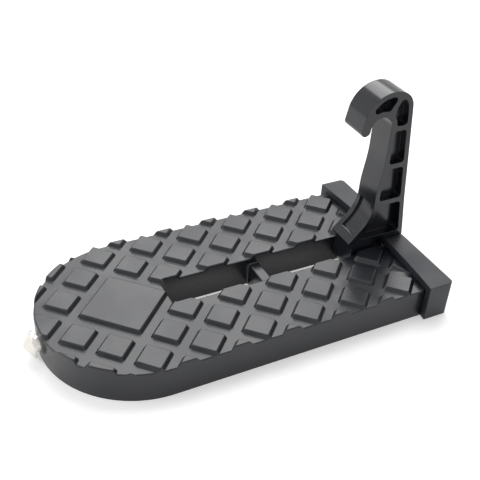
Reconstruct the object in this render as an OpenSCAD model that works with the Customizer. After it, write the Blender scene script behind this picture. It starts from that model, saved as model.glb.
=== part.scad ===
// Roof access step: a ribbed pedal casting with a diamond tread, a fold-down
// hook for the latch loop of a door frame, a rubber bumper and a glass breaker.
// X runs from the nose to the bumper, Z is up, and the pedal lies on Z = 0.

/* [Pedal casting] */
// Length of the casting, from the nose to its rear end under the bumper
pedal_length = 177; // [160:1:200]
// Width of the casting; the nose is a half circle of this width
pedal_width = 88.6; // [80:0.2:96]
// Height from the underside to the top of the treads
pedal_height = 16.7; // [15:0.1:19]
// Thickness of the deck under the grooves
deck_thickness = 4; // [3:0.1:5]
// Thickness of the outer wall and of the walls beside the slot
wall_thickness = 4; // [3:0.1:5]
// Thickness of the wall that carries the bumper
rear_wall = 8; // [6:0.5:9]
// Thickness of the stiffening ribs on the underside
rib_thickness = 2.6; // [2:0.1:3.4]
// Largest distance between two cross ribs on the underside
rib_spacing = 18; // [14:1:24]

/* [Diamond tread] */
// Height of the treads over the groove floor
tread_height = 2; // [1.2:0.1:2.6]
// Distance between two neighbouring grooves
tread_pitch = 17; // [14:0.5:20]
// Side of a tread at its top
tread_top = 11; // [8:0.2:11.6]
// Side of a tread at the groove floor
tread_base = 12.6; // [12:0.1:13.4]
// Distance from the nose to the centre of the large nose tread
nose_tread_x = 38.4; // [32:0.4:44]

/* [Slot for the hook] */
// Width of the slot
slot_width = 16.6; // [16.3:0.1:18]
// Distance from the nose to the front end of the slot
slot_front = 58.8; // [56:0.2:62]
// Thickness of the wall behind the slot
slot_end_wall = 8; // [7.4:0.1:9]
// Radius of the slot's corners
slot_corner_r = 1.6; // [0.6:0.1:3]
// Distance from the nose to the front face of the crossbar
crossbar_front = 103.8; // [102:0.2:106]
// Thickness of the crossbar that the folded hook rests on
crossbar_thickness = 5.4; // [4:0.1:7]

/* [Hinge] */
// Diameter of the hinge pin
pin_diameter = 7; // [6:0.1:8]
// Height of the hinge pin's centre over the underside
pin_height = 7.9; // [7.6:0.1:8.2]
// Distance from the pin's centre to the rear end of the casting
pin_setback = 19; // [18:0.1:19.6]
// Running clearance all round the pin
pin_clearance = 0.05; // [0.03:0.01:0.08]
// Radius of the hook's hub
hub_radius = 7; // [6.2:0.1:7.2]
// Radius of the pin bosses beside the slot
boss_radius = 6.6; // [6:0.1:7]
// Length of each pin boss, with the wall of the slot
boss_length = 8.8; // [7:0.1:10]
// Thickness of the thrust washers beside the hub
washer_thickness = 0.7; // [0.4:0.05:0.75]
// Thickness of the retaining rings
ring_thickness = 0.8; // [0.6:0.1:1]
// Outer radius of the retaining rings
ring_radius = 5; // [4.6:0.1:5.4]

/* [Hook casting] */
// Height from the pin's centre to the top of the curl
hook_height = 90.4; // [87:0.1:94]
// Width of the hook at the curl and down the shank
hook_width = 13.8; // [12:0.1:14.6]
// Width of the foot and of the hub
foot_width = 14.9; // [14.6:0.1:15]
// Thickness of the web between the side pockets
web_thickness = 6; // [4:0.1:8]
// Width of the flange that frames the side pockets
flange_width = 2.5; // [1.8:0.1:2.8]
// Width of the ribs between the side pockets
hook_rib = 2.6; // [2:0.1:3.4]
// Outer radius of the curl
curl_radius = 13.9; // [13:0.1:14.6]
// Distance from the pin's centre back to the curl's centre
curl_offset = 3.7; // [3.2:0.1:4.2]
// Smaller radius where the curl turns into the back
shoulder_radius = 9; // [8:0.1:10]
// Radius of the throat that grips the latch loop
throat_radius = 5.5; // [5:0.1:6]
// Drop of the throat's centre below the curl's centre
throat_drop = 3.1; // [2:0.1:4]
// Radius of the rounded tip of the hook
tip_radius = 2.4; // [2:0.1:2.8]
// Distance from the pin's centre back to the front edge of the shank at the throat
shank_front = 4.7; // [4.3:0.1:5.1]
// Height over the pin's centre at which the shank's front edge starts to bend
shank_bend = 58; // [56:0.5:62]
// Distance from the pin's centre back to the front edge above the foot
shin_front = 2.6; // [2.2:0.1:3.2]
// Radius of the hollow curve from the shin to the toe
flare_radius = 19.3; // [16:0.1:22]
// Distance from the pin's centre forward to the toe
toe_reach = 9.3; // [8.4:0.1:10]
// Distance from the pin's centre back to the heel
heel_reach = 22; // [21:0.1:22.3]
// Gap between the treads and the foot
foot_gap = 3; // [2.6:0.1:3.4]
// Height of the recess's lower end over the foot's sole
recess_start = 4.8; // [4:0.1:6]
// Length of the shallow recess in the front of the foot
recess_length = 15; // [10:0.1:16]
// Width of the shallow recess in the front of the foot
recess_width = 9; // [7:0.1:10]
// Depth of the shallow recess in the front of the foot
recess_depth = 1.2; // [0.6:0.1:1.4]

/* [Bumper] */
// Thickness of the rubber behind the casting
bumper_back = 3.7; // [3:0.1:5]
// Thickness of the rubber at each side of the casting
bumper_side = 3.7; // [3:0.1:5]
// Thickness of the rubber over the casting's tongue
bumper_top = 3.8; // [3.2:0.1:4]
// Thickness of the rubber under the casting's tongue
bumper_floor = 3; // [2:0.1:4]
// Length of the bumper along its sides
bumper_length = 13.3; // [12:0.1:16]
// Depth of the hollow curve in the bumper's front edge
bumper_hollow = 2.9; // [2:0.1:3.4]
// Radius of the bumper's upright corners
bumper_corner_r = 2.2; // [1:0.1:4]
// Radius of the upright corners of the tongue inside the bumper
tongue_corner_r = 1.5; // [0.5:0.1:3]
// Radius of the moulded plugs that hold the bumper
plug_radius = 2.4; // [2:0.1:2.6]
// Swelling of each plug behind the wall that it goes through
plug_swell = 0.7; // [0.4:0.1:0.8]

/* [Glass breaker] */
// Distance that the breaker stands out from the nose
breaker_reach = 6.3; // [5:0.1:8]
// Radius of the breaker's collar
breaker_radius = 6; // [5:0.1:6.2]
// Height of the breaker's centre over the underside
breaker_height = 7.2; // [7:0.1:8]
// Radius of the breaker's threaded shank
breaker_shank = 3; // [2.5:0.1:3.5]
// Depth of the round seat in the nose
breaker_seat = 2.6; // [2:0.1:3]
// Length of the breaker's pointed end
breaker_point = 3.1; // [2.4:0.1:3.6]
// Thickness of the breaker's collar
breaker_collar = 1.4; // [1:0.1:1.6]
// Radius of the flat at the breaker's point
breaker_flat = 1.1; // [0.6:0.1:1.6]
// Radius of the neck behind the collar
breaker_neck = 4; // [3.6:0.1:4.6]
// Length of the threaded shank
breaker_thread = 11; // [8:0.5:13]

/* [Hidden] */

$fn = 96;
// Overlap of a cut with the face that it opens
cut = 1;
// Distance at which pieces of different bodies come to rest
rest_gap = 0.3;
// Fit of the rubber on the casting, and of the breaker in its hole
fit = 0.08;

charcoal = [0.10, 0.105, 0.12];
rubber_grey = [0.13, 0.14, 0.16];
bright_steel = [0.78, 0.78, 0.80];
zinc_steel = [0.62, 0.63, 0.66];
bronze = [0.66, 0.50, 0.28];

// Places along the pedal; the whole step is centred on X = 0
overall_length = breaker_reach + pedal_length + bumper_back;
nose_x = breaker_reach - overall_length / 2;
rear_x = nose_x + pedal_length;
pin_x = rear_x - pin_setback;
slot_front_x = nose_x + slot_front;
slot_rear_x = rear_x - slot_end_wall;
crossbar_x = nose_x + crossbar_front;
nose_radius = pedal_width / 2;
breaker_boss = breaker_seat + breaker_thread + 1;

// Heights
groove_floor = pedal_height - tread_height;
cavity_top = groove_floor - deck_thickness;
bumper_height = groove_floor + bumper_top;

// Hinge stack, from the middle outwards
pin_radius = pin_diameter / 2;
pin_bore = pin_radius + pin_clearance;
boss_end = slot_width / 2 + boss_length;
ring_play = 0.1;
ring_start = boss_end + ring_play;
groove_radius = pin_radius - 0.8;
pin_end = boss_end + ring_thickness + 2 * ring_play + 1.6;
pin_chamfer = 0.5;
washer_start = (foot_width / 2 + slot_width / 2 - washer_thickness) / 2;

// Hook, measured from the pin's centre
curl_centre = [curl_offset, hook_height - curl_radius];
shoulder_angle = 64;
shoulder_centre = curl_centre
    + (curl_radius - shoulder_radius) * [cos(shoulder_angle), sin(shoulder_angle)];
throat_centre = [shank_front - throat_radius, curl_centre.y - throat_drop];
tip_centre = [throat_centre.x - throat_radius - tip_radius, throat_centre.y];
foot_bottom = pedal_height + foot_gap - pin_height;
heel_bottom = bumper_height + rest_gap - pin_height;
heel_radius = 1;
heel_pad_length = 4.6;
toe_radius = 1.2;
toe_slope = 45;
toe_centre = [-toe_reach + toe_radius, foot_bottom + toe_radius];
toe_slope_z = shin_front - toe_centre.x + toe_centre.y + toe_radius * sqrt(2);
flare_centre = [shin_front - flare_radius, toe_slope_z + flare_radius * tan(toe_slope / 2)];
shin_top = flare_centre.y + 2;
taper_bottom = foot_bottom + 2.4;
taper_top = flare_centre.y;
upper_rib = throat_centre.y - 1.6;
lower_flange = foot_bottom + flange_width / 2;
knuckle_rib_angle = 58;

function unit(angle) = [cos(angle), sin(angle)];

// Points along a circle's arc, from angle a to angle b
function arc(centre, radius, a, b, steps = 12) =
    [for (i = [0:steps]) centre + radius * unit(a + (b - a) * i / steps)];

// Direction from both centres to a straight line that touches both circles
function touch_angle(c1, r1, c2, r2) =
    atan2(c2.y - c1.y, c2.x - c1.x) - acos((r1 - r2) / norm(c2 - c1));

// Front edge of the shank: a smooth step from the throat's edge to the shin's
function shank_edge(z) =
    let (t = max(0, min(1, (shank_bend - z) / (shank_bend - shin_top))))
        shank_front + (shin_front - shank_front) * (1 - cos(180 * t)) / 2;

function shank_points(steps = 12) =
    [for (i = [0:steps])
        let (z = shank_bend + (shin_top - shank_bend) * i / steps) [shank_edge(z), z]];

// The folded shank rests on the crossbar's rear edge
crossbar_top = pin_height + shank_edge(pin_x - crossbar_x - crossbar_thickness) - rest_gap;

// A flat outline in X and Z, extruded to a width across the step
module across(width) {
    rotate([90, 0, 0])
        linear_extrude(width, center = true) children();
}

// A cylinder along Y, from one Y to another
module cross_cylinder(radius, y0, y1) {
    translate([0, y0, 0])
        rotate([-90, 0, 0])
            cylinder(h = y1 - y0, r = radius);
}

// A rectangle from x0 to x1, centred on Y = 0, with rounded corners
module rounded_bar(x0, x1, width, radius) {
    translate([x0 + radius, -width / 2])
        square([x1 - x0 - 2 * radius, width]);
    translate([x0, -width / 2 + radius])
        square([x1 - x0, width - 2 * radius]);
    for (x = [x0 + radius, x1 - radius])
        for (y = [-width / 2 + radius, width / 2 - radius])
            translate([x, y]) circle(r = radius, $fn = 32);
}

// Outline of the casting, drawn in by an even inset
module pedal_outline(inset = 0, rear = rear_x) {
    half = nose_radius - inset;
    translate([nose_x + nose_radius, 0]) circle(r = half, $fn = 160);
    translate([nose_x + nose_radius, -half])
        square([rear - nose_x - nose_radius, 2 * half]);
}

// One straight groove of the tread along X, centred on Y = 0
module groove(length) {
    low = (tread_pitch - tread_base) / 2;
    high = (tread_pitch - tread_top) / 2;
    over = high + (high - low) * cut / tread_height;
    rotate([90, 0, 90])
        linear_extrude(length, center = true)
            polygon([[-low, 0], [low, 0], [over, tread_height + cut], [-over, tread_height + cut]]);
}

// The large tread at the nose takes the room of four
module nose_tread() {
    low = (tread_pitch + tread_base) / 2;
    high = (tread_pitch + tread_top) / 2;
    under = low + (low - high) * cut / tread_height;
    over = high - (low - high) * cut / tread_height;
    side = 4 * tread_pitch;
    intersection_for (turn = [0, 90])
        rotate([90, 0, turn])
            linear_extrude(side, center = true)
                polygon([[-under, -cut], [under, -cut], [over, tread_height + cut], [-over, tread_height + cut]]);
}

// Two crossed sets of parallel grooves leave the diamond treads standing
module tread_grooves() {
    reach = pedal_length + pedal_width;
    rows = ceil(pedal_length / tread_pitch);
    translate([nose_x + nose_tread_x, 0, groove_floor])
        rotate(45)
            difference() {
                for (turn = [0, 90])
                    rotate(turn)
                        for (row = [-rows:rows])
                            translate([0, row * tread_pitch, 0])
                                groove(2 * reach);
                nose_tread();
            }
}

// The slot goes right through, except at the crossbar
module slot_cut() {
    difference() {
        translate([0, 0, -cut])
            linear_extrude(pedal_height + 2 * cut)
                rounded_bar(slot_front_x, slot_rear_x, slot_width, slot_corner_r);
        translate([crossbar_x, -slot_width, -2 * cut])
            cube([crossbar_thickness, 2 * slot_width, crossbar_top + 2 * cut]);
    }
}

// Stiffening ribs, in plan: the slot's walls run on to the nose, one rib
// lies halfway to each outer wall, and cross ribs tie them together
module underside_ribs() {
    inner = slot_width / 2 + wall_thickness;
    outer = nose_radius - wall_thickness;
    rib_y = (inner + outer) / 2;
    front = nose_x + wall_thickness;
    rear = rear_x - rear_wall;
    bays = ceil((rear - front) / rib_spacing);
    for (side = [-1, 1]) {
        translate([front, side * rib_y - rib_thickness / 2])
            square([rear - front, rib_thickness]);
        translate([front, side * (inner - rib_thickness / 2) - rib_thickness / 2])
            square([slot_front_x - front, rib_thickness]);
    }
    for (bay = [1:bays - 1])
        translate([front + (rear - front) * bay / bays - rib_thickness / 2, -nose_radius])
            square([rib_thickness, pedal_width]);
}

// Hollow underside between the walls, ribs and bosses
module underside_cavity() {
    difference() {
        translate([0, 0, -cut])
            linear_extrude(cavity_top + cut)
                difference() {
                    pedal_outline(wall_thickness, rear_x - rear_wall);
                    rounded_bar(slot_front_x - wall_thickness, slot_rear_x + wall_thickness,
                        slot_width + 2 * wall_thickness, slot_corner_r + wall_thickness);
                    underside_ribs();
                }
        translate([pin_x, 0, pin_height])
            cross_cylinder(boss_radius, -boss_end, boss_end);
        translate([nose_x, 0, breaker_height])
            rotate([0, 90, 0])
                cylinder(h = breaker_boss, r = breaker_radius);
    }
}

// Plan of everything in front of the bumper's hollow front edge
module front_of_bumper(gap) {
    half = nose_radius + bumper_side;
    radius = (half * half + bumper_hollow * bumper_hollow) / (2 * bumper_hollow);
    edge_x = rear_x + bumper_back - bumper_length + bumper_hollow;
    translate([edge_x - radius - gap, 0]) circle(r = radius, $fn = 360);
}

// The rear end is cut down above and below to a tongue for the bumper
module tongue_cuts() {
    for (z = [[-cut, cut + bumper_floor], [groove_floor, tread_height + cut]])
        translate([0, 0, z[0]])
            linear_extrude(z[1])
                difference() {
                    translate([pin_x, -pedal_width]) square([pin_setback + cut, 2 * pedal_width]);
                    front_of_bumper(0);
                }
}

// Plan of the tongue inside the bumper, grown by an even gap
module tongue_plan(gap = 0) {
    rounded_bar(nose_x + nose_radius, rear_x + gap, pedal_width + 2 * gap,
        tongue_corner_r + gap);
}

// Places of the two holes that the bumper's plugs go through
module at_plugs() {
    inner = slot_width / 2 + wall_thickness;
    outer = nose_radius - wall_thickness;
    for (side = [-1, 1])
        translate([rear_x, side * (inner + 3 * outer) / 4, (cavity_top + bumper_floor) / 2])
            rotate([0, -90, 0]) children();
}

module pedal_casting() {
    color(charcoal)
        difference() {
            linear_extrude(pedal_height) {
                pedal_outline(rear = pin_x);
                tongue_plan();
            }
            tread_grooves();
            slot_cut();
            underside_cavity();
            tongue_cuts();
            // Bore for the hinge pin, and the hole that the pin is pushed in by
            translate([pin_x, 0, pin_height]) {
                cross_cylinder(pin_bore, -boss_end - cut, boss_end + cut);
                cross_cylinder(pin_radius + 0.5, boss_end, nose_radius + cut);
                // Room for the rings and the pin's ends under the deck
                for (turn = [0, 180])
                    rotate(turn) cross_cylinder(ring_radius + 0.5, boss_end, pin_end + cut);
            }
            // Seat and tapped hole for the glass breaker
            translate([nose_x, 0, breaker_height])
                rotate([0, 90, 0]) {
                    translate([0, 0, -cut])
                        cylinder(h = breaker_seat + cut, r = breaker_radius + 0.4);
                    cylinder(h = breaker_boss + cut, r = breaker_shank + fit);
                }
            at_plugs()
                translate([0, 0, -cut])
                    cylinder(h = rear_wall + 2 * cut, r = plug_radius + fit);
        }
}

// Side view of the hook above the foot's sole, with the throat still filled
module hook_outline() {
    heel_centre = [heel_reach - heel_radius, heel_bottom + heel_radius];
    back_angle = touch_angle(heel_centre, heel_radius, shoulder_centre, shoulder_radius);
    tip_angle = touch_angle(curl_centre, curl_radius, tip_centre, tip_radius);
    pad_x = heel_reach - heel_pad_length;
    polygon(concat(
        arc(heel_centre, heel_radius, 270, 360 + back_angle, 6),
        arc(shoulder_centre, shoulder_radius, back_angle, shoulder_angle),
        arc(curl_centre, curl_radius, shoulder_angle, 360 + tip_angle, 20),
        arc(tip_centre, tip_radius, 360 + tip_angle, 360),
        [[shank_front, tip_centre.y]],
        shank_points(),
        arc(flare_centre, flare_radius, 0, -toe_slope),
        arc(toe_centre, toe_radius, 90 + toe_slope, 270, 6),
        [[pad_x - 0.8, foot_bottom], [pad_x, heel_bottom]]
    ));
}

// Ribs between the side pockets: one across the knuckle, three across the shank
module hook_ribs() {
    step = (upper_rib - lower_flange) / 3;
    translate(throat_centre)
        rotate(knuckle_rib_angle)
            translate([0, -hook_rib / 2]) square([2 * curl_radius, hook_rib]);
    for (row = [1:3])
        translate([-hook_height / 2, lower_flange + step * row - hook_rib / 2])
            square([hook_height, hook_rib]);
}

// The pockets are the outline inside its flange, less the ribs
module pocket_outlines() {
    corner = 1.5;
    offset(r = corner, $fn = 24)
        offset(delta = -corner)
            difference() {
                offset(delta = -flange_width) hook_outline();
                translate(throat_centre) circle(r = throat_radius + flange_width + 0.4);
                hook_ribs();
            }
}

// Front view of the hook: the sides draw in from the foot to the shank
module side_taper() {
    top = hook_height + cut;
    foot = foot_width / 2;
    shank = hook_width / 2;
    rotate([90, 0, 90])
        linear_extrude(4 * curl_radius, center = true)
            polygon([
                [-foot, 0], [foot, 0], [foot, taper_bottom], [shank, taper_top], [shank, top],
                [-shank, top], [-shank, taper_top], [-foot, taper_bottom]
            ]);
}

// Throat between the tip and the shank, open downwards
module throat_cut() {
    translate([throat_centre.x, 0, throat_centre.y])
        cross_cylinder(throat_radius, -foot_width, foot_width);
}

// Shallow recess in the front of the foot
module foot_recess() {
    across(recess_width)
        intersection() {
            difference() {
                offset(delta = cut) hook_outline();
                offset(delta = -recess_depth) hook_outline();
            }
            translate([-2 * toe_reach, foot_bottom + recess_start])
                square([2 * toe_reach + shank_front, recess_length]);
        }
}

module hook_casting() {
    color(charcoal)
        translate([pin_x, 0, pin_height])
            difference() {
                union() {
                    intersection() {
                        across(foot_width) hook_outline();
                        side_taper();
                    }
                    cross_cylinder(hub_radius, -foot_width / 2, foot_width / 2);
                    across(foot_width)
                        translate([-hub_radius, 0])
                            square([2 * hub_radius, foot_bottom + cut]);
                }
                for (side = [-1, 1])
                    translate([0, side * (web_thickness + foot_width) / 2, 0])
                        across(foot_width) pocket_outlines();
                throat_cut();
                foot_recess();
                cross_cylinder(pin_bore, -foot_width, foot_width);
            }
}

// Plain pin with a groove and a chamfer at each end
module hinge_pin() {
    groove_end = boss_end + ring_thickness + 2 * ring_play;
    color(zinc_steel)
        translate([pin_x, 0, pin_height])
            rotate([-90, 0, 0])
                rotate_extrude()
                    polygon([
                        [0, -pin_end], [pin_radius - pin_chamfer, -pin_end],
                        [pin_radius, -pin_end + pin_chamfer], [pin_radius, -groove_end],
                        [groove_radius, -groove_end], [groove_radius, -boss_end],
                        [pin_radius, -boss_end], [pin_radius, boss_end],
                        [groove_radius, boss_end], [groove_radius, groove_end],
                        [pin_radius, groove_end], [pin_radius, pin_end - pin_chamfer],
                        [pin_radius - pin_chamfer, pin_end], [0, pin_end]
                    ]);
}

// Open ring that snaps into a groove of the pin from below
module retaining_ring(side) {
    color(zinc_steel)
        translate([pin_x, side * (ring_start + ring_thickness / 2), pin_height])
            across(ring_thickness)
                difference() {
                    circle(r = ring_radius);
                    circle(r = groove_radius + fit);
                    translate([-groove_radius * 0.8, 0])
                        square([groove_radius * 1.6, 2 * ring_radius]);
                }
}

// Plain washer between the hub and the wall of the slot
module thrust_washer(side) {
    color(bronze)
        translate([pin_x, side * (washer_start + washer_thickness / 2), pin_height])
            across(washer_thickness)
                difference() {
                    circle(r = hub_radius - 0.6);
                    circle(r = pin_bore + fit);
                }
}

// Rubber cap that wraps the tongue, held by two plugs with swollen ends
module bumper_cap() {
    head = 1.8;
    color(rubber_grey) {
        difference() {
            linear_extrude(bumper_height)
                difference() {
                    rounded_bar(pin_x, rear_x + bumper_back, pedal_width + 2 * bumper_side,
                        bumper_corner_r);
                    front_of_bumper(-fit);
                }
            translate([0, 0, bumper_floor - fit])
                linear_extrude(groove_floor - bumper_floor + 2 * fit) tongue_plan(fit);
        }
        at_plugs() {
            translate([0, 0, -bumper_back / 2])
                cylinder(h = rear_wall + bumper_back / 2 + head, r = plug_radius);
            translate([0, 0, rear_wall + fit])
                cylinder(h = head, r1 = plug_radius + plug_swell, r2 = plug_radius);
        }
    }
}

// Turned steel breaker: threaded shank, neck, collar and blunt point
module breaker_tip() {
    shank_end = breaker_seat + breaker_thread;
    collar_front = breaker_point - breaker_reach;
    collar_back = collar_front + breaker_collar;
    bevel = 0.4;
    color(bright_steel)
        translate([nose_x, 0, breaker_height])
            rotate([0, 90, 0])
                rotate_extrude()
                    polygon([
                        [0, -breaker_reach], [breaker_flat, -breaker_reach],
                        [breaker_radius - bevel, collar_front],
                        [breaker_radius, collar_front + bevel], [breaker_radius, collar_back],
                        [breaker_neck, collar_back], [breaker_neck, breaker_seat],
                        [breaker_shank, breaker_seat], [breaker_shank, shank_end], [0, shank_end]
                    ]);
}

pedal_casting();
hook_casting();
hinge_pin();
retaining_ring(-1);  // retaining_ring_near
retaining_ring(1);  // retaining_ring_far
thrust_washer(-1);  // thrust_washer_near
thrust_washer(1);  // thrust_washer_far
bumper_cap();
breaker_tip();
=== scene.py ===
"""Looks of a roof access step: coated castings, a rubber bumper and a glass breaker.

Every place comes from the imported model, in metres. The pedal's shell is built from its outline and
the rule of its diamond tread, and the hook and the bumper are softened copies of their solids.
"""
import logging
import math
from dataclasses import dataclass, field
from enum import Enum

import bmesh
import bpy
import numpy as np
from mathutils import Matrix, Vector
from mathutils.geometry import delaunay_2d_cdt


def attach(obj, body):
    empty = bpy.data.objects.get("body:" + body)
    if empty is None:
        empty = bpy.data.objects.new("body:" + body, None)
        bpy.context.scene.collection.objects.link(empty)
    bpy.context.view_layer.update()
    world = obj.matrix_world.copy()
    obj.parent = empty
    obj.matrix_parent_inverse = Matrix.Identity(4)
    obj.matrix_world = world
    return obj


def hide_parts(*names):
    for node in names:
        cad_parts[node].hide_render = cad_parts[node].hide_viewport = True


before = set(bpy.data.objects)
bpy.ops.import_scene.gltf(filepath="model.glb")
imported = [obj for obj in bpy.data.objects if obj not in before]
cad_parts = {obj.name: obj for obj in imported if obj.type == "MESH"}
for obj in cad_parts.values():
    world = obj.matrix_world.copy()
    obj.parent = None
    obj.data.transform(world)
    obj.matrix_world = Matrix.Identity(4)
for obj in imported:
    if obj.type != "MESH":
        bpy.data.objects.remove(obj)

LOG = logging.getLogger("access_step")
MM = 0.001
Loop = list[tuple[float, float]]


class Body(Enum):
    """The two bodies that the hinge pin joins."""

    STEP = "step"
    HOOK = "hook"


class Slot(Enum):
    """Material slots of the record."""

    CASTING = "coated_casting"
    HOOK = "coated_hook"
    ZINC = "zinc_steel"
    NICKEL = "nickel_steel"
    BRONZE = "bronze"
    RUBBER = "rubber"


def arc(centre: tuple[float, float], radius: float, start: float, end: float, steps: int) -> Loop:
    """Points along a circle's arc.

    Args:
        centre: The circle's centre.
        radius: The circle's radius.
        start: Angle of the first point, in degrees.
        end: Angle of the last point, in degrees.
        steps: How many steps the arc is split into.

    Returns:
        The points, both ends among them.
    """
    angles = (math.radians(start + (end - start) * i / steps) for i in range(steps + 1))
    return [(centre[0] + radius * math.cos(a), centre[1] + radius * math.sin(a)) for a in angles]


def new_piece(name: str, mesh: bpy.types.Mesh) -> bpy.types.Object:
    """Links a mesh into the scene as an object at the origin.

    Args:
        name: The object's name.
        mesh: Its mesh, already in place.

    Returns:
        The new object.
    """
    piece = bpy.data.objects.new(name, mesh)
    bpy.context.scene.collection.objects.link(piece)
    return piece


def smooth(piece: bpy.types.Object) -> None:
    """Shades every face of a piece smooth."""
    piece.data.polygons.foreach_set("use_smooth", [True] * len(piece.data.polygons))
    piece.data.update()


def weigh_normals(piece: bpy.types.Object) -> None:
    """Lets large faces keep their own normals, so that only the fillets look round."""
    weighted = piece.modifiers.new("weighted normals", "WEIGHTED_NORMAL")
    weighted.mode = "FACE_AREA"
    weighted.weight = 80
    weighted.keep_sharp = False


def report(piece: bpy.types.Object, body: Body) -> None:
    """Logs a finished piece with its face count and the body that it rides on."""
    LOG.info("%s: %d faces, rides on %s", piece.name, len(piece.data.polygons), body.value)


class Graph:
    """A node tree that is written as formulas."""

    def __init__(self, tree: bpy.types.NodeTree) -> None:
        """Keeps the tree that nodes are added to."""
        self.tree = tree

    def node(self, kind: str, inputs: dict | None = None, **settings) -> bpy.types.Node:
        """Adds a node.

        Args:
            kind: The node's type name.
            inputs: Values or sockets for its inputs, by index or name.
            **settings: Properties of the node itself.

        Returns:
            The new node.
        """
        made = self.tree.nodes.new(kind)
        for key, value in settings.items():
            setattr(made, key, value)
        for key, value in (inputs or {}).items():
            self.put(made.inputs[key], value)
        return made

    def put(self, socket: bpy.types.NodeSocket, value: object) -> None:
        """Links a socket to another socket, or sets its own value."""
        if isinstance(value, bpy.types.NodeSocket):
            self.tree.links.new(value, socket)
        else:
            socket.default_value = value

    def calc(self, operation: str, *terms: object) -> bpy.types.NodeSocket:
        """One step of arithmetic on numbers or sockets.

        Args:
            operation: A Math node's operation.
            *terms: Its numbers or sockets, in order.

        Returns:
            The result's socket.
        """
        return self.node("ShaderNodeMath", dict(enumerate(terms)), operation=operation).outputs[0]

    def ease(self, value: object, low: object, high: object, to: tuple) -> bpy.types.NodeSocket:
        """A smooth step from one value to another.

        Args:
            value: What is measured.
            low: Where the step starts.
            high: Where it ends.
            to: The two results.

        Returns:
            The result's socket.
        """
        inputs = {0: value, 1: low, 2: high, 3: to[0], 4: to[1]}
        made = self.node("ShaderNodeMapRange", inputs, interpolation_type="SMOOTHSTEP")
        return made.outputs[0]


@dataclass(frozen=True)
class CoatGrain:
    """Shader group for sprayed or moulded surfaces: orange peel, fine grain and faint mottling."""

    name: str = "coat grain"

    def build(self) -> bpy.types.NodeTree:
        """Makes the group once and returns it.

        Returns:
            The shader node group.
        """
        if self.name in bpy.data.node_groups:
            return bpy.data.node_groups[self.name]
        tree = bpy.data.node_groups.new(self.name, "ShaderNodeTree")
        for label, value in (("Peel Size", 2.0), ("Grain Size", 0.3), ("Peel", 0.5), ("Grain", 0.5)):
            socket = tree.interface.new_socket(label, in_out="INPUT", socket_type="NodeSocketFloat")
            socket.default_value = value
        for label in ("Height", "Mottle"):
            tree.interface.new_socket(label, in_out="OUTPUT", socket_type="NodeSocketFloat")
        graph = Graph(tree)
        given = graph.node("NodeGroupInput").outputs
        place = graph.node("ShaderNodeTexCoord").outputs["Object"]
        peel_scale = graph.calc("DIVIDE", 1 / MM, given["Peel Size"])
        grain_scale = graph.calc("DIVIDE", 1 / MM, given["Grain Size"])
        peel = graph.node("ShaderNodeTexNoise", {"Vector": place, "Scale": peel_scale, "Detail": 1.0})
        grain = graph.node("ShaderNodeTexNoise", {"Vector": place, "Scale": grain_scale, "Detail": 2.0})
        cloud = graph.node("ShaderNodeTexNoise", {"Vector": place, "Scale": 45.0, "Detail": 3.0})
        height = graph.calc("ADD", graph.calc("MULTIPLY", peel.outputs[0], given["Peel"]),
                            graph.calc("MULTIPLY", grain.outputs[0], given["Grain"]))
        ends = graph.node("NodeGroupOutput")
        graph.put(ends.inputs["Height"], height)
        graph.put(ends.inputs["Mottle"], graph.ease(cloud.outputs[0], 0.35, 0.65, (0.0, 1.0)))
        return tree


@dataclass(frozen=True)
class Finish:
    """A surface: colour, gloss and relief."""

    name: str
    colour: tuple[float, float, float]
    worn_colour: tuple[float, float, float]
    roughness: tuple[float, float]
    metallic: float = 0.0
    specular: float = 0.5
    coat: float = 0.0
    peel_size: float = 2.0
    grain_size: float = 0.3
    peel: float = 0.5
    grain: float = 0.5
    bump: float = 0.1
    depth: float = 0.05

    def build(self) -> bpy.types.Material:
        """Makes the material once and returns it.

        Returns:
            The material.
        """
        if self.name in bpy.data.materials:
            return bpy.data.materials[self.name]
        made = bpy.data.materials.new(self.name)
        made.use_nodes = True
        graph = Graph(made.node_tree)
        surface = made.node_tree.nodes["Principled BSDF"]
        surface.inputs["Metallic"].default_value = self.metallic
        surface.inputs["Specular IOR Level"].default_value = self.specular
        surface.inputs["Coat Weight"].default_value = self.coat
        surface.inputs["Coat Roughness"].default_value = 0.12
        sizes = {"Peel Size": self.peel_size, "Grain Size": self.grain_size}
        grain = graph.node("ShaderNodeGroup", node_tree=CoatGrain().build())
        for label, value in {**sizes, "Peel": self.peel, "Grain": self.grain}.items():
            grain.inputs[label].default_value = value
        mottle = grain.outputs["Mottle"]
        rough = graph.node("ShaderNodeMapRange", {0: mottle, 3: self.roughness[0], 4: self.roughness[1]})
        colours = {"Factor": mottle, 6: (*self.colour, 1.0), 7: (*self.worn_colour, 1.0)}
        mix = graph.node("ShaderNodeMix", data_type="RGBA")
        for key, value in colours.items():
            graph.put(mix.inputs[key], value)
        inputs = {"Height": grain.outputs["Height"], "Strength": self.bump, "Distance": self.depth * MM}
        bump = graph.node("ShaderNodeBump", inputs)
        graph.put(surface.inputs["Roughness"], rough.outputs[0])
        graph.put(surface.inputs["Base Color"], mix.outputs[2])
        graph.put(surface.inputs["Normal"], bump.outputs[0])
        return made


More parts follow.
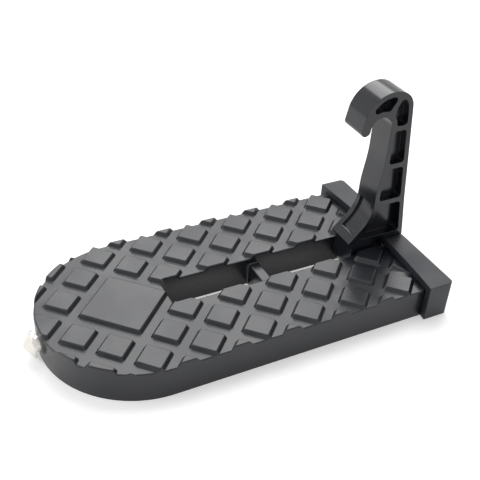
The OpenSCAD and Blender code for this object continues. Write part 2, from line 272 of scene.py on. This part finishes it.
COATING = Finish("coated casting", (0.006, 0.007, 0.010), (0.008, 0.009, 0.013), (0.26, 0.34),
                 peel_size=1.6, bump=0.25, depth=0.03)
HOOK_COATING = Finish("coated hook", (0.005, 0.006, 0.009), (0.007, 0.008, 0.012), (0.16, 0.24),
                      peel_size=2.4, bump=0.2, depth=0.03)
RUBBER = Finish("bumper rubber", (0.012, 0.013, 0.018), (0.017, 0.019, 0.025), (0.50, 0.60),
                peel_size=0.9, grain_size=0.25, bump=0.4, depth=0.04)
NICKEL = Finish("nickel steel", (0.70, 0.68, 0.64), (0.62, 0.60, 0.56), (0.16, 0.26), metallic=1.0,
                bump=0.1)
ZINC = Finish("zinc steel", (0.50, 0.52, 0.56), (0.42, 0.44, 0.49), (0.30, 0.42), metallic=1.0)
BRONZE = Finish("bronze", (0.50, 0.33, 0.16), (0.42, 0.27, 0.13), (0.32, 0.45), metallic=1.0)


@dataclass
class TreadRelief:
    """Geometry Nodes tree that raises the diamond treads out of a flat deck.

    The height follows from the distance to the nearest tread's rounded outline. The same rounded outline,
    grown by each of levels, tells the mesh where to keep its rings of points.
    """

    pitch: float = 17.0 * MM
    tread: float = 11.8 * MM
    height: float = 2.0 * MM
    corner: float = 1.1 * MM
    flank: float = 0.8 * MM
    centre_x: float = -48.8 * MM
    name: str = "diamond tread relief"

    @property
    def levels(self) -> tuple[float, ...]:
        """Distances from a tread's outline at which the deck keeps a ring of points."""
        return tuple(self.flank * share for share in (-1, -0.7, -0.35, 0, 0.35, 0.7, 1))

    def outline(self, half: float, offset: float) -> Loop:
        """A tread's rounded outline about its own centre, in the tread's turned axes.

        Args:
            half: Half the tread's side.
            offset: Distance that the outline is grown by.

        Returns:
            The closed outline.
        """
        radius = max(self.corner + offset, 0.15 * MM)
        reach = half + offset - radius
        corners = ((reach, reach, 0), (-reach, reach, 90), (-reach, -reach, 180), (reach, -reach, 270))
        return [point for x, y, turn in corners for point in arc((x, y), radius, turn, turn + 90, 4)]

    def to_deck(self, loop: Loop, p: float, q: float) -> Loop:
        """Turns a loop by 45 degrees onto the deck, about a tread's place in the lattice."""
        root = math.sqrt(0.5)
        return [(self.centre_x + (x + p - y - q) * root, (x + p + y + q) * root) for x, y in loop]

    def build(self) -> bpy.types.NodeTree:
        """Makes the node tree.

        Returns:
            The geometry node group.
        """
        tree = bpy.data.node_groups.new(self.name, "GeometryNodeTree")
        face = tree.interface
        face.new_socket("Geometry", in_out="INPUT", socket_type="NodeSocketGeometry")
        for label in ("Pitch", "Tread", "Height", "Corner", "Flank", "Centre X"):
            face.new_socket(label, in_out="INPUT", socket_type="NodeSocketFloat")
        face.new_socket("Finish", in_out="INPUT", socket_type="NodeSocketMaterial")
        face.new_socket("Geometry", in_out="OUTPUT", socket_type="NodeSocketGeometry")
        graph = Graph(tree)
        given = graph.node("NodeGroupInput").outputs
        place = graph.node("ShaderNodeSeparateXYZ", {0: graph.node("GeometryNodeInputPosition").outputs[0]})
        x = graph.calc("SUBTRACT", place.outputs["X"], given["Centre X"])
        y = place.outputs["Y"]
        root = math.sqrt(0.5)
        p = graph.calc("MULTIPLY", graph.calc("ADD", x, y), root)
        q = graph.calc("MULTIPLY", graph.calc("SUBTRACT", y, x), root)
        half = graph.calc("MULTIPLY", given["Tread"], 0.5)
        large = graph.calc("ADD", half, graph.calc("MULTIPLY", given["Pitch"], 0.5))
        cell = [self._to_cell_centre(graph, value, given["Pitch"]) for value in (p, q)]
        near = self._distance(graph, cell, half, given["Corner"])
        nose = self._distance(graph, [graph.calc("ABSOLUTE", p), graph.calc("ABSOLUTE", q)], large,
                              given["Corner"])
        distance = graph.calc("MINIMUM", near, nose)
        ends = graph.node("GeometryNodeInputNamedAttribute", {"Name": "tread end"}, data_type="FLOAT")
        distance = graph.calc("MAXIMUM", distance, ends.outputs[0])
        flank = given["Flank"]
        rise = graph.ease(distance, graph.calc("MULTIPLY", flank, -1), flank, (given["Height"], 0.0))
        deck = graph.node("GeometryNodeInputNamedAttribute", {"Name": "deck"}, data_type="FLOAT")
        offset = graph.node("ShaderNodeCombineXYZ", {"Z": graph.calc("MULTIPLY", rise, deck.outputs[0])})
        moved = graph.node("GeometryNodeSetPosition", {"Geometry": given["Geometry"],
                                                       "Offset": offset.outputs[0]})
        real = graph.node("GeometryNodeRealizeInstances", {0: moved.outputs[0]})
        dressed = graph.node("GeometryNodeSetMaterial", {"Geometry": real.outputs[0],
                                                         "Material": given["Finish"]})
        graph.node("NodeGroupOutput", {0: dressed.outputs[0]})
        return tree

    @staticmethod
    def _to_cell_centre(graph: Graph, value: object, pitch: object) -> bpy.types.NodeSocket:
        """Distance to the middle of the lattice's cell along one axis."""
        part = graph.calc("FRACT", graph.calc("DIVIDE", value, pitch))
        return graph.calc("ABSOLUTE", graph.calc("MULTIPLY", graph.calc("SUBTRACT", part, 0.5), pitch))

    @staticmethod
    def _distance(graph: Graph, place: list, half: object, corner: object) -> bpy.types.NodeSocket:
        """Signed distance to a square with rounded corners.

        Args:
            graph: The tree.
            place: The two distances from the square's centre.
            half: Half the square's side.
            corner: The radius of its corners.

        Returns:
            The distance's socket, negative inside.
        """
        straight = graph.calc("SUBTRACT", half, corner)
        over = [graph.calc("SUBTRACT", value, straight) for value in place]
        beyond = [graph.calc("MAXIMUM", value, 0.0) for value in over]
        squares = [graph.calc("MULTIPLY", value, value) for value in beyond]
        outside = graph.calc("SQRT", graph.calc("ADD", *squares))
        inside = graph.calc("MINIMUM", graph.calc("MAXIMUM", *over), 0.0)
        return graph.calc("SUBTRACT", graph.calc("ADD", outside, inside), corner)

    def apply(self, piece: bpy.types.Object, finish: Finish) -> bpy.types.Object:
        """Raises the treads of a flat deck and returns the result as a plain piece.

        Args:
            piece: The flat shell, with the attributes deck and tread end.
            finish: The coating.

        Returns:
            A new piece with a plain mesh; the flat one is removed.
        """
        tree = self.build()
        modifier = piece.modifiers.new(self.name, "NODES")
        modifier.node_group = tree
        values = {"Pitch": self.pitch, "Tread": self.tread, "Height": self.height,
                  "Corner": self.corner, "Flank": self.flank, "Centre X": self.centre_x,
                  "Finish": finish.build()}
        for item in tree.interface.items_tree:
            if item.in_out == "INPUT" and item.name in values:
                modifier[item.identifier] = values[item.name]
        graph = bpy.context.evaluated_depsgraph_get()
        mesh = bpy.data.meshes.new_from_object(piece.evaluated_get(graph))
        raised = new_piece(f"{piece.name}_raised", mesh)
        bpy.data.objects.remove(piece)
        return raised


@dataclass
class Pedal:
    """The pedal casting: a shell with the treads and walls, and its ribbed underside."""

    relief: TreadRelief = field(default_factory=TreadRelief)
    finish: Finish = COATING
    nose_x: float = -87.2 * MM
    half_width: float = 44.3 * MM
    floor_z: float = 14.7 * MM
    shell_end: float = 86.0 * MM
    slot_half: float = 8.3 * MM
    slot_front: float = -28.4 * MM
    slot_rear: float = 81.8 * MM
    slot_corner: float = 1.6 * MM
    rim_radius: float = 0.7 * MM
    bumper_edge: float = 83.1 * MM
    bumper_edge_radius: float = 398.8 * MM
    bar_front: float = 16.6 * MM
    bar_rear: float = 22.0 * MM
    bar_top: float = 11.55 * MM
    bar_fillet: float = 0.9 * MM
    arc_steps: int = 96

    @property
    def nose_centre(self) -> float:
        """X of the centre of the round nose."""
        return self.nose_x + self.half_width

    def outline(self, inset: float) -> Loop:
        """The pedal's outline, drawn in by an inset."""
        half = self.half_width - inset
        nose = arc((self.nose_centre, 0), half, 90, 270, self.arc_steps)
        return nose + [(self.shell_end, -half), (self.shell_end, half)]

    def slot(self, outset: float) -> Loop:
        """The slot's outline, grown by an outset."""
        half = self.slot_half + outset
        radius = self.slot_corner + outset
        x0 = self.slot_front - outset + radius
        x1 = self.slot_rear + outset - radius
        reach = half - radius
        corners = ((x1, reach, 0), (x0, reach, 90), (x0, -reach, 180), (x1, -reach, 270))
        return [point for x, y, turn in corners for point in arc((x, y), radius, turn, turn + 90, 5)]

    def edge_distance(self, points: np.ndarray) -> np.ndarray:
        """Distance from the deck's points to the nearest edge of the deck.

        Args:
            points: One row of X and Y for each point.

        Returns:
            The distances, positive on the deck.
        """
        x, y = points[:, 0], points[:, 1]
        nose = self.half_width - np.hypot(np.minimum(x - self.nose_centre, 0), y)
        middle = (self.slot_front + self.slot_rear) / 2
        over_x = np.abs(x - middle) - (self.slot_rear - self.slot_front) / 2 + self.slot_corner
        over_y = np.abs(y) - self.slot_half + self.slot_corner
        outside = np.hypot(np.maximum(over_x, 0), np.maximum(over_y, 0))
        inside = np.minimum(np.maximum(over_x, over_y), 0)
        return np.minimum(nose, outside + inside - self.slot_corner)

    def deck_loops(self) -> list[Loop]:
        """Every ring of points that the deck's mesh keeps.

        Returns:
            The closed loops: the edges with their rounding, and seven rings round each tread.
        """
        insets = [self.rim_radius * share for share in (0, 0.13, 0.4, 0.75, 1)]
        loops = [self.outline(inset) for inset in insets] + [self.slot(inset) for inset in insets]
        relief = self.relief
        rows = range(-5, 10)
        columns = range(-9, 5)
        under_nose_tread = (-1, 0)
        half = relief.tread / 2
        for level in relief.levels:
            loops.append(relief.to_deck(relief.outline(half + relief.pitch / 2, level), 0, 0))
            for row in rows:
                for column in columns:
                    if row in under_nose_tread and column in under_nose_tread:
                        continue
                    p = (row + 0.5) * relief.pitch
                    q = (column + 0.5) * relief.pitch
                    loop = relief.to_deck(relief.outline(half, level), p, q)
                    loops.append(loop)
        return loops

    def flat_shell(self) -> bpy.types.Object:
        """The deck without its treads, and the walls round the outline and the slot.

        Returns:
            A piece with the attributes deck and tread end for the relief.
        """
        points: list[Vector] = []
        edges: list[tuple[int, int]] = []
        for loop in self.deck_loops():
            on_deck = self.edge_distance(np.array(loop)) > -1e-7
            inside = np.array([x for x, _ in loop]) < self.shell_end + 1e-7
            if not (on_deck & inside).any():
                continue
            first = len(points)
            points += [Vector(point) for point in loop]
            edges += [(first + i, first + (i + 1) % len(loop)) for i in range(len(loop))]
        verts, _, faces, *_ = delaunay_2d_cdt(points, edges, [], 0, 1e-6)
        flat = np.array([tuple(v) for v in verts])
        triangles = np.array([face for face in faces if len(face) == 3])
        centres = flat[triangles].mean(1)
        keep = (self.edge_distance(centres) > 0) & (centres[:, 0] < self.shell_end)
        return self._raise_walls(flat, triangles[keep])

    def _raise_walls(self, flat: np.ndarray, triangles: np.ndarray) -> bpy.types.Object:
        """Rounds the deck's edges and drops a wall from each edge down to the ground.

        Args:
            flat: The deck's points in plan.
            triangles: Its triangles.

        Returns:
            The shell as a piece.
        """
        inset = np.clip(self.edge_distance(flat), 0, self.rim_radius)
        drop = self.rim_radius - np.sqrt(self.rim_radius ** 2 - (self.rim_radius - inset) ** 2)
        height = self.floor_z - drop
        edge_x = self.bumper_edge - self.bumper_edge_radius
        tread_end = np.hypot(flat[:, 0] - edge_x, flat[:, 1]) - self.bumper_edge_radius
        mesh = bpy.data.meshes.new("pedal_shell")
        shape = bmesh.new()
        deck = shape.verts.layers.float.new("deck")
        ends = shape.verts.layers.float.new("tread end")
        verts = []
        for (x, y), z, end in zip(flat, height, tread_end):
            vert = shape.verts.new((x, y, z))
            vert[deck] = 1.0
            vert[ends] = end + 0.9 * MM
            verts.append(vert)
        for a, b, c in triangles:
            shape.faces.new((verts[a], verts[b], verts[c]))
        bmesh.ops.delete(shape, geom=[v for v in shape.verts if not v.link_faces], context="VERTS")
        bmesh.ops.recalc_face_normals(shape, faces=shape.faces)
        if sum(face.normal.z for face in shape.faces) < 0:
            bmesh.ops.reverse_faces(shape, faces=shape.faces)
        rim = [edge for edge in shape.edges if len(edge.link_faces) == 1]
        wall = bmesh.ops.extrude_edge_only(shape, edges=rim)
        for vert in (item for item in wall["geom"] if isinstance(item, bmesh.types.BMVert)):
            vert.co.z = 0.0
            vert[deck] = 0.0
        bmesh.ops.recalc_face_normals(shape, faces=shape.faces)
        shape.to_mesh(mesh)
        shape.free()
        return new_piece("pedal_shell", mesh)

    def crossbar(self) -> bpy.types.Object:
        """The bar across the slot, with rounded top edges and fillets where it meets the walls.

        Returns:
            The bar as a piece.
        """
        shape = bmesh.new()
        fillet = self.bar_fillet
        reach = self.slot_half + 0.3 * MM
        stations = [(-reach, fillet)] + [
            (-self.slot_half + fillet * (1 - math.cos(math.radians(turn))),
             fillet * (1 - math.sin(math.radians(turn)))) for turn in range(0, 91, 15)]
        stations += [(-y, grow) for y, grow in reversed(stations)]
        rings = []
        for y, grow in stations:
            x0, x1 = self.bar_front - grow, self.bar_rear + grow
            radius = 0.8 * MM
            top = self.bar_top + grow * 0.5
            section = [(x1, 0.0)] + arc((x1 - radius, top - radius), radius, 0, 90, 4)
            section += arc((x0 + radius, top - radius), radius, 90, 180, 4) + [(x0, 0.0)]
            rings.append([shape.verts.new((x, y, z)) for x, z in section])
        for ring, after in zip(rings, rings[1:]):
            for i in range(len(ring)):
                j = (i + 1) % len(ring)
                shape.faces.new((ring[i], after[i], after[j], ring[j]))
        bmesh.ops.recalc_face_normals(shape, faces=shape.faces)
        mesh = bpy.data.meshes.new("pedal_crossbar")
        shape.to_mesh(mesh)
        shape.free()
        return new_piece("pedal_crossbar", mesh)

    def underside(self) -> bpy.types.Object:
        """The ribs, pockets and bosses under the deck, from the solid.

        Returns:
            The underside as a piece, with its flat faces merged.
        """
        shape = bmesh.new()
        shape.from_mesh(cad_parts["pedal_casting"].data)
        bmesh.ops.remove_doubles(shape, verts=shape.verts, dist=1e-6)
        faces = [face for face in shape.faces if self._is_shell(face)]
        bmesh.ops.delete(shape, geom=faces, context="FACES")
        bmesh.ops.dissolve_limit(shape, angle_limit=math.radians(0.5), verts=shape.verts,
                                 edges=shape.edges)
        mesh = bpy.data.meshes.new("pedal_underside")
        shape.to_mesh(mesh)
        shape.free()
        return new_piece("pedal_underside", mesh)

    def _is_shell(self, face: bmesh.types.BMFace) -> bool:
        """Whether a face of the solid is one that the shell or the crossbar stands for."""
        centre = face.calc_center_median()
        if centre.x > self.shell_end - 1e-5:
            return False
        if min(vert.co.z for vert in face.verts) > self.floor_z - 1e-5:
            return True
        if abs(face.normal.z) > 0.1:
            in_slot = abs(centre.y) < self.slot_half + 1e-5 and centre.z > 1 * MM
            return in_slot and centre.x > self.slot_front
        distance = self.edge_distance(np.array([[centre.x, centre.y]]))[0]
        return distance < 0.2 * MM

    def build(self) -> None:
        """Builds and dresses the casting's pieces, which stand for its one node."""
        shell = self.relief.apply(self.flat_shell(), self.finish)
        pieces = [shell, self.crossbar(), self.underside()]
        for piece in pieces[1:]:
            piece.data.materials.append(self.finish.build())
        for piece in pieces[:2]:
            smooth(piece)
            weigh_normals(piece)
        for piece in pieces:
            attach(piece, Body.STEP.value)
            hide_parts("pedal_casting")
            report(piece, Body.STEP)


@dataclass
class SoftenedSolid:
    """A copy of a node's solid with every edge rounded."""

    node: str
    body: Body
    slot: Slot
    finish: Finish
    radius: float
    segments: int = 3

    def build(self) -> None:
        """Builds, dresses and reports the piece."""
        shape = bmesh.new()
        shape.from_mesh(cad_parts[self.node].data)
        bmesh.ops.remove_doubles(shape, verts=shape.verts, dist=1e-6)
        bmesh.ops.dissolve_limit(shape, angle_limit=math.radians(0.5), verts=shape.verts,
                                 edges=shape.edges)
        mesh = bpy.data.meshes.new(f"{self.node}_soft")
        shape.to_mesh(mesh)
        shape.free()
        piece = new_piece(f"{self.node}_soft", mesh)
        piece.data.materials.append(self.finish.build())
        bevel = piece.modifiers.new("rounded edges", "BEVEL")
        bevel.width = self.radius
        bevel.segments = self.segments
        bevel.limit_method = "ANGLE"
        bevel.angle_limit = math.radians(32)
        bevel.use_clamp_overlap = True
        bevel.harden_normals = False
        smooth(piece)
        weigh_normals(piece)
        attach(piece, self.body.value)
        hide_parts(self.node)
        report(piece, self.body)


@dataclass
class SolidNode:
    """A node whose solid shape is right, and that only gets its finish."""

    node: str
    finish: Finish

    def build(self) -> None:
        """Puts the finish on the node's own object."""
        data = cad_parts[self.node].data
        data.materials.clear()
        data.materials.append(self.finish.build())
        LOG.info("%s: dressed as it is", self.node)


@dataclass
class Studio:
    """Pale floor, soft lamps and the camera at the photograph's place."""

    azimuth: float = -28.093
    elevation: float = 36.129
    roll: float = 3.211
    distance: float = 385.0 * MM
    aim: tuple[float, float, float] = (18.16 * MM, 21.48 * MM, 16.68 * MM)
    focal_px: float = 791.5
    frame_px: float = 480.0
    sensor: float = 36.0
    floor_size: float = 6.0
    fill: float = 0.55

    def direction(self, azimuth: float, elevation: float) -> Vector:
        """Unit vector from the object towards a view's place."""
        a, e = math.radians(azimuth), math.radians(elevation)
        return Vector((math.sin(a) * math.cos(e), -math.cos(a) * math.cos(e), math.sin(e)))

    def camera(self) -> None:
        """Makes the camera and hands it to the scene."""
        back = self.direction(self.azimuth, self.elevation)
        right = (-back).cross(Vector((0, 0, 1))).normalized()
        above = back.cross(right).normalized()
        turn = math.radians(self.roll)
        across = math.cos(turn) * right + math.sin(turn) * above
        upward = -math.sin(turn) * right + math.cos(turn) * above
        data = bpy.data.cameras.new("camera")
        data.sensor_width = self.sensor
        data.lens = self.focal_px / self.frame_px * self.sensor
        data.clip_start = 0.01
        camera = bpy.data.objects.new("camera", data)
        axes = Matrix((across, upward, back)).transposed().to_4x4()
        camera.matrix_world = Matrix.Translation(Vector(self.aim) + back * self.distance) @ axes
        bpy.context.scene.collection.objects.link(camera)
        bpy.context.scene.camera = camera

    def lamp(self, name: str, azimuth: float, elevation: float, size: float, power: float) -> None:
        """Adds a square soft lamp that faces the object.

        Args:
            name: The lamp's name.
            azimuth: Where it stands, as for a view.
            elevation: Its height over the horizon, in degrees.
            size: Its side, in metres.
            power: Its power, in watts.
        """
        data = bpy.data.lights.new(name, "AREA")
        data.size = size
        data.energy = power
        lamp = bpy.data.objects.new(name, data)
        away = self.direction(azimuth, elevation)
        lamp.location = away * 1.2
        lamp.rotation_mode = "QUATERNION"
        lamp.rotation_quaternion = away.to_track_quat("Z", "Y")
        bpy.context.scene.collection.objects.link(lamp)

    def world(self) -> None:
        """White where the camera or a reflection looks, and a plain soft fill elsewhere."""
        world = bpy.data.worlds.new("studio")
        world.use_nodes = True
        bpy.context.scene.world = world
        graph = Graph(world.node_tree)
        path = graph.node("ShaderNodeLightPath").outputs
        seen = graph.calc("MAXIMUM", path["Is Camera Ray"], path["Is Glossy Ray"])
        seen = graph.calc("MAXIMUM", seen, path["Is Transmission Ray"])
        strength = graph.node("ShaderNodeMapRange", {0: seen, 3: self.fill, 4: 1.0})
        background = world.node_tree.nodes["Background"]
        background.inputs["Color"].default_value = (1.0, 1.0, 1.0, 1.0)
        graph.put(background.inputs["Strength"], strength.outputs[0])

    def floor(self) -> None:
        """A pale floor that fades into the white background and keeps the object's shadow."""
        shape = bmesh.new()
        bmesh.ops.create_grid(shape, x_segments=1, y_segments=1, size=self.floor_size / 2)
        mesh = bpy.data.meshes.new("floor")
        shape.to_mesh(mesh)
        shape.free()
        floor = new_piece("floor", mesh)
        made = bpy.data.materials.new("floor")
        made.use_nodes = True
        graph = Graph(made.node_tree)
        surface = made.node_tree.nodes["Principled BSDF"]
        surface.inputs["Base Color"].default_value = (0.8, 0.8, 0.8, 1.0)
        surface.inputs["Roughness"].default_value = 0.9
        surface.inputs["Specular IOR Level"].default_value = 0.0
        surface.inputs["Emission Color"].default_value = (1.0, 1.0, 1.0, 1.0)
        path = graph.node("ShaderNodeLightPath").outputs
        seen = graph.calc("MAXIMUM", path["Is Camera Ray"], path["Is Glossy Ray"])
        graph.put(surface.inputs["Emission Strength"], graph.calc("MULTIPLY", seen, 0.35))
        mesh.materials.append(made)

    def build(self) -> None:
        """Sets the whole studio."""
        bpy.context.scene.view_settings.view_transform = "Standard"
        self.camera()
        self.world()
        self.floor()
        self.lamp("key", 150, 55, 1.0, 12.0)
        self.lamp("side", -110, 35, 0.8, 5.0)


def main() -> None:
    """Builds the part and its studio."""
    logging.basicConfig(level=logging.INFO, format="%(message)s")
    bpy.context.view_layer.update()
    Studio().build()
    Pedal().build()
    SoftenedSolid("hook_casting", Body.HOOK, Slot.HOOK, HOOK_COATING, 0.7 * MM).build()
    SoftenedSolid("bumper_cap", Body.STEP, Slot.RUBBER, RUBBER, 0.9 * MM).build()
    SolidNode("breaker_tip", NICKEL).build()
    SolidNode("hinge_pin", ZINC).build()
    for side in ("near", "far"):
        SolidNode(f"retaining_ring_{side}", ZINC).build()
        SolidNode(f"thrust_washer_{side}", BRONZE).build()


if __name__ == "__main__":
    main()
